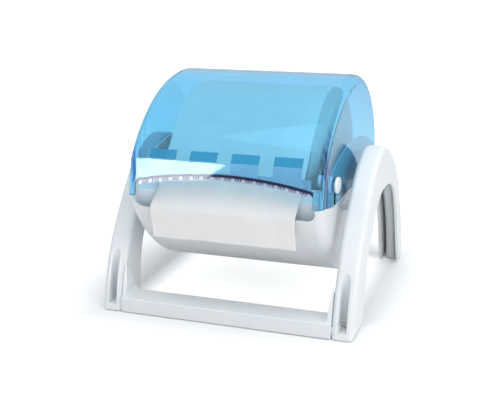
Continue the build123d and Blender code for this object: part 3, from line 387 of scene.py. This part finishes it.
# A latch spring is 12.5 mm long, and its button shortens it by 2 mm towards its seat in the housing; here
# each spring only gets a mesh of its own.
for side, hand in (("right", 1), ("left", -1)):
    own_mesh(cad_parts[side + "_latch_spring"])


# The feet. Black rubber pads, moulded with a fine pitted skin and pressed into the soles.
foot_rubber, tree, shader = new_material("black_rubber_moulded", roughness=0.7)
PIT_WIDTH = 1.2 * mm
PIT_DEPTH = 0.15 * mm
place = add(tree, "ShaderNodeTexCoord")
pits = add(tree, "ShaderNodeTexNoise", {"Vector": place.outputs["Object"], "Scale": 1 / PIT_WIDTH,
                                        "Detail": 2.0})
cast = add(tree, "ShaderNodeMix", {"Factor": pits.outputs[0], 6: tone("#1E2022"), 7: tone("#303336")},
           data_type="RGBA")
bump = add(tree, "ShaderNodeBump", {"Strength": 0.3, "Distance": PIT_DEPTH, "Height": pits.outputs[0]})
tree.links.new(cast.outputs[2], shader.inputs["Base Color"])
tree.links.new(bump.outputs[0], shader.inputs["Normal"])
dress(foot_rubber, "rubber_feet")


# The roll. Soft two-ply wiping paper, embossed and wound tight on a cardboard core. Its ends show the turns
# as faint rings, and its face a soft pebble pattern with faint clouding.
ROLL_Y = 25 * mm
ROLL_Z = 194 * mm
RING_PITCH = 2.4 * mm
EMBOSS_PITCH = 5 * mm
EMBOSS_DEPTH = 0.4 * mm
FIBRE = 1.5 * mm
CLOUD = 25 * mm
PULP = 2 * mm
PAPER_LIGHT = "#F0EEEC"
PAPER_SHADE = "#E6E4E2"


def wiping_paper(name):
    """Embossed wiping paper: the material with its tree, its shader and its plain colour."""
    material, tree, shader = new_material(name, roughness=0.92, ior=1.4)
    place = add(tree, "ShaderNodeTexCoord")
    pebbles = add(tree, "ShaderNodeTexVoronoi", {"Vector": place.outputs["Object"],
                                                 "Scale": 1 / EMBOSS_PITCH}, feature="SMOOTH_F1")
    fibres = add(tree, "ShaderNodeTexNoise", {"Vector": place.outputs["Object"], "Scale": 1 / FIBRE,
                                              "Detail": 3.0})
    cloud = add(tree, "ShaderNodeTexNoise", {"Vector": place.outputs["Object"], "Scale": 1 / CLOUD,
                                             "Detail": 3.0})
    cast = add(tree, "ShaderNodeMix", {"Factor": cloud.outputs[0], 6: tone(PAPER_SHADE),
                                       7: tone(PAPER_LIGHT)}, data_type="RGBA")
    relief = add(tree, "ShaderNodeMath", {0: fibres.outputs[0], 1: pebbles.outputs["Distance"]},
                 operation="ADD")
    bump = add(tree, "ShaderNodeBump", {"Strength": 0.35, "Distance": EMBOSS_DEPTH,
                                        "Height": relief.outputs[0]})
    tree.links.new(cast.outputs[2], shader.inputs["Base Color"])
    tree.links.new(bump.outputs[0], shader.inputs["Normal"])
    return material, tree, shader, cast.outputs[2]


wound_paper, tree, shader, plain = wiping_paper("wiping_paper_wound")
place = add(tree, "ShaderNodeTexCoord")
spot = add(tree, "ShaderNodeVectorMath", {0: place.outputs["Object"], 1: (0, -ROLL_Y, -ROLL_Z)},
           operation="ADD")
radial = add(tree, "ShaderNodeVectorMath", {0: spot.outputs[0], 1: (0, 1, 1)}, operation="MULTIPLY")
reach = add(tree, "ShaderNodeVectorMath", {0: radial.outputs[0]}, operation="LENGTH")
rings = add(tree, "ShaderNodeTexNoise", {"W": reach.outputs["Value"], "Scale": 1 / RING_PITCH,
                                         "Detail": 2.0}, noise_dimensions="1D")
shape = add(tree, "ShaderNodeNewGeometry")
facing = add(tree, "ShaderNodeSeparateXYZ", {0: shape.outputs["True Normal"]})
across = add(tree, "ShaderNodeMath", {0: facing.outputs["X"]}, operation="ABSOLUTE")
end_face = add(tree, "ShaderNodeMath", {0: across.outputs[0], 1: 0.7}, operation="GREATER_THAN")
turns = add(tree, "ShaderNodeMath", {0: rings.outputs[0], 1: end_face.outputs[0]}, operation="MULTIPLY")
shaded = add(tree, "ShaderNodeMix", {"Factor": turns.outputs[0], 6: plain, 7: tone("#D6D5D3")},
             data_type="RGBA")
tree.links.new(shaded.outputs[2], shader.inputs["Base Color"])
dress(wound_paper, "paper_roll")

cardboard, tree, shader = new_material("cardboard_wound", roughness=0.85)
place = add(tree, "ShaderNodeTexCoord")
pulp = add(tree, "ShaderNodeTexNoise", {"Vector": place.outputs["Object"], "Scale": 1 / PULP, "Detail": 4.0})
cast = add(tree, "ShaderNodeMix", {"Factor": pulp.outputs[0], 6: tone("#A98F6E"), 7: tone("#C0A987")},
           data_type="RGBA")
tree.links.new(cast.outputs[2], shader.inputs["Base Color"])
dress(cardboard, "cardboard_core")


# The free end of the paper. One sheet of the same paper, which leaves the roll, passes over the guide's
# nose and the lip of the shell, and hangs down; its edges have crept out of line and its face has relaxed
# into shallow waves.
SHEET_WIDTH = 226 * mm
SHEET_THICK = 0.25 * mm
SHEET_PATH = [(-74.2 * mm, 286.6 * mm), (-160.42 * mm, 194.29 * mm), (-178.92 * mm, 171.94 * mm),
              (-178.92 * mm, 127.0 * mm)]
SHEET_ROUNDS = [12 * mm, 1.5 * mm]
SHEET_ROWS = 90
SHEET_COLUMNS = 90
BEND_STEPS = 8
FREE_FROM_SHARE = 0.62
WAVE = 1.3 * mm
WAVE_MIDDLE_SHARE = 0.4
WAVES_ACROSS = 3.1
WAVES_DOWN = 5.0
WAVE_LAYER = 0.7
EDGE_CURL = 1.6 * mm
EDGE_SHARPNESS = 6
EDGE_CREEP = 3.2 * mm
CREEP_SPAN = 1.15
LEFT_CREEP_SHARE = 1.3
RIGHT_CREEP_SHARE = 0.6
HEM_DROP = 1.4 * mm
HEM_WAVES_ACROSS = 2.2
HEM_WAVES_DOWN = 2.0
HEM_LAYER = 4.0


def rounded_path(corners, rounds, count):
    """Evenly spaced points along straight runs whose corners are rounded off, and the path's length."""
    points = [Vector(corners[0])]
    for n, reach in enumerate(rounds, 1):
        apex = Vector(corners[n])
        before = apex + (Vector(corners[n - 1]) - apex).normalized() * reach
        after = apex + (Vector(corners[n + 1]) - apex).normalized() * reach
        for step in range(BEND_STEPS + 1):
            t = step / BEND_STEPS
            points.append(before * (1 - t) ** 2 + apex * 2 * t * (1 - t) + after * t ** 2)
    points.append(Vector(corners[-1]))
    lengths = [0.0]
    for a, b in zip(points, points[1:]):
        lengths.append(lengths[-1] + (b - a).length)
    even = []
    for n in range(count + 1):
        along = lengths[-1] * n / count
        k = max(i for i in range(len(points) - 1) if lengths[i] <= along + 1e-9)
        t = (along - lengths[k]) / (lengths[k + 1] - lengths[k])
        even.append(points[k].lerp(points[k + 1], min(t, 1.0)))
    return even, lengths[-1]


profile, sheet_length = rounded_path(SHEET_PATH, SHEET_ROUNDS, SHEET_ROWS)
sheet_mesh = bpy.data.meshes.new("paper_free_end")
build = bmesh.new()
rows = []
for row, spot in enumerate(profile):
    share = row / SHEET_ROWS
    loose = max(0.0, (share - FREE_FROM_SHARE) / (1 - FREE_FROM_SHARE))
    creep = EDGE_CREEP * sin(pi * min(1.0, loose * CREEP_SPAN))
    line = []
    for column in range(SHEET_COLUMNS + 1):
        across = column / SHEET_COLUMNS * 2 - 1
        x = across * SHEET_WIDTH / 2
        left = max(0.0, -across) ** EDGE_SHARPNESS
        right = max(0.0, across) ** EDGE_SHARPNESS
        x -= left * creep * LEFT_CREEP_SHARE
        x -= right * creep * RIGHT_CREEP_SHARE
        ripple = noise.noise(Vector((across * WAVES_ACROSS, share * WAVES_DOWN, WAVE_LAYER)))
        lift = WAVE * loose * (WAVE_MIDDLE_SHARE + ripple)
        lift += EDGE_CURL * loose * (left + right)
        ripple = noise.noise(Vector((across * HEM_WAVES_ACROSS, HEM_LAYER, share * HEM_WAVES_DOWN)))
        fall = HEM_DROP * loose * ripple
        line.append(build.verts.new((x, spot.x - max(0.0, lift), spot.y + fall * loose)))
    rows.append(line)
for a, b in zip(rows, rows[1:]):
    for n in range(SHEET_COLUMNS):
        build.faces.new((a[n], b[n], b[n + 1], a[n + 1]))
bmesh.ops.recalc_face_normals(build, faces=build.faces)
build.to_mesh(sheet_mesh)
build.free()
for face in sheet_mesh.polygons:
    face.use_smooth = True
sheet_mesh.materials.append(wiping_paper("wiping_paper_embossed")[0])
sheet = link_mesh("paper_free_end", sheet_mesh)
thickness = sheet.modifiers.new("thickness", "SOLIDIFY")
thickness.thickness = SHEET_THICK
thickness.offset = 0
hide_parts("paper_sheet")
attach(sheet, "stand")
